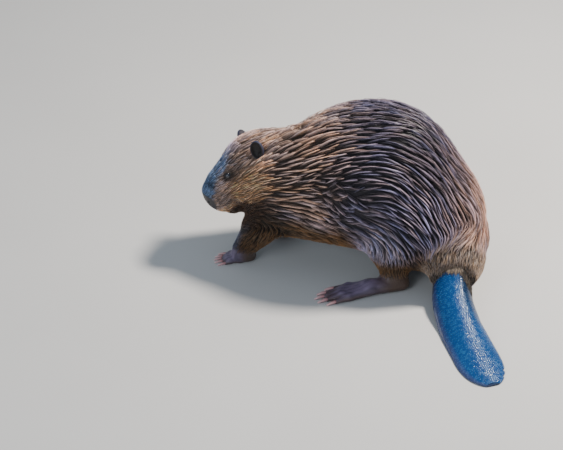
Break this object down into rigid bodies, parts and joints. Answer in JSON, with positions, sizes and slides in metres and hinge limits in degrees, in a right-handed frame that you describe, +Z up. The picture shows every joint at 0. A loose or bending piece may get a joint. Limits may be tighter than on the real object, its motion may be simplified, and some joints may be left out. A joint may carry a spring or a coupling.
{
  "type": "beaver",
  "caption": "Life-size still model of a walking beaver with a hunched wet-furred back, lowered head, webbed hind feet and a flat scaly tail laid round to its left.",
  "frame": {"origin": "on the floor, under the middle of the whole animal's bounding box", "axes": "+Z up; the head points towards -X; the animal's left side and its tail are towards -Y"},
  "size_m": [0.5826, 0.5724, 0.3583],
  "materials": {
    "coat": "wet fur in pointed locks, chestnut brown with dark partings",
    "dark_coat": "short dense dark brown fur",
    "bare_skin": "wet dark skin with fine scales",
    "scales": "wet slate-blue scales, glossy",
    "eye": "wet black eyeball",
    "horn": "pale pinkish horn claws"
  },
  "bodies": {
    "root": {"head": "coat", "neck": "coat", "trunk": "coat", "rump": "coat", "tail_root": "dark_coat", "tail_blade": "scales", "ear_left": "dark_coat", "ear_right": "dark_coat", "eye_left": "eye", "eye_right": "eye", "hind_left_upper": "coat", "hind_left_lower": "dark_coat", "hind_left_foot": "bare_skin", "hind_left_claw_1": "horn", "hind_left_claw_2": "horn", "hind_left_claw_3": "horn", "hind_left_claw_4": "horn", "hind_left_claw_5": "horn", "hind_right_upper": "coat", "hind_right_lower": "dark_coat", "hind_right_foot": "bare_skin", "hind_right_claw_1": "horn", "hind_right_claw_2": "horn", "hind_right_claw_3": "horn", "hind_right_claw_4": "horn", "hind_right_claw_5": "horn", "fore_left_upper": "coat", "fore_left_lower": "dark_coat", "fore_left_foot": "bare_skin", "fore_left_claw_1": "horn", "fore_left_claw_2": "horn", "fore_left_claw_3": "horn", "fore_left_claw_4": "horn", "fore_left_claw_5": "horn", "fore_right_upper": "coat", "fore_right_lower": "dark_coat", "fore_right_foot": "bare_skin", "fore_right_claw_1": "horn", "fore_right_claw_2": "horn", "fore_right_claw_3": "horn", "fore_right_claw_4": "horn", "fore_right_claw_5": "horn"}
  },
  "joints": []
}
